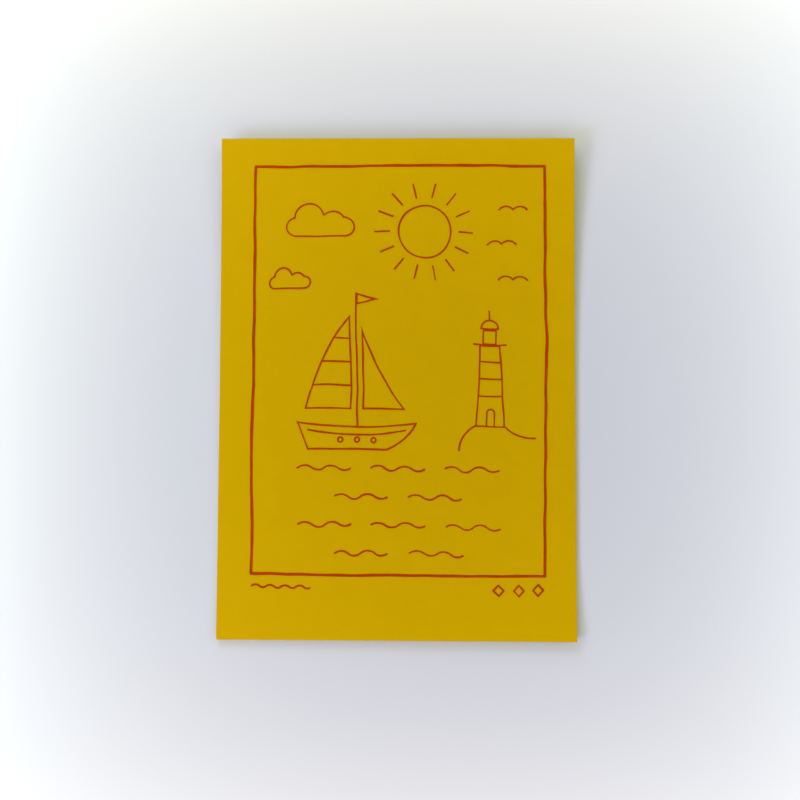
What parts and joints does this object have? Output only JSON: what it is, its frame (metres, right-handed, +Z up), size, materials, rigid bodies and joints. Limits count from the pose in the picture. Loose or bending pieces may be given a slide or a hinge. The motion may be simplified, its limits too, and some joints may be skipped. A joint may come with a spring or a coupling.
{
  "type": "postcard",
  "caption": "Portrait A6 picture postcard of yellow card, lifted a little at its foot and curling up at its top edge, with a red line print on its face and a ruled address form on its back.",
  "frame": {"origin": "on the table under the middle of the card", "axes": "+X to the right of the picture, +Y along the sheet to its top edge, +Z up out of the picture face"},
  "size_m": [0.105, 0.148, 0.0021],
  "materials": {
    "board_face": "matte",
    "board_core": "matte",
    "board_back": "matte",
    "picture_ink": "matte",
    "form_ink": "matte"
  },
  "bodies": {
    "root": {"face_ply": "board_face", "core_ply": "board_core", "back_ply": "board_back", "ink_border": "picture_ink", "ink_sun": "picture_ink", "ink_clouds": "picture_ink", "ink_gulls": "picture_ink", "ink_sails": "picture_ink", "ink_hull": "picture_ink", "ink_lighthouse": "picture_ink", "ink_waves": "picture_ink", "ink_wave_ornament": "picture_ink", "ink_diamond_ornament": "picture_ink", "ink_divider": "form_ink", "ink_address_rules": "form_ink", "ink_stamp_box": "form_ink"}
  },
  "joints": []
}
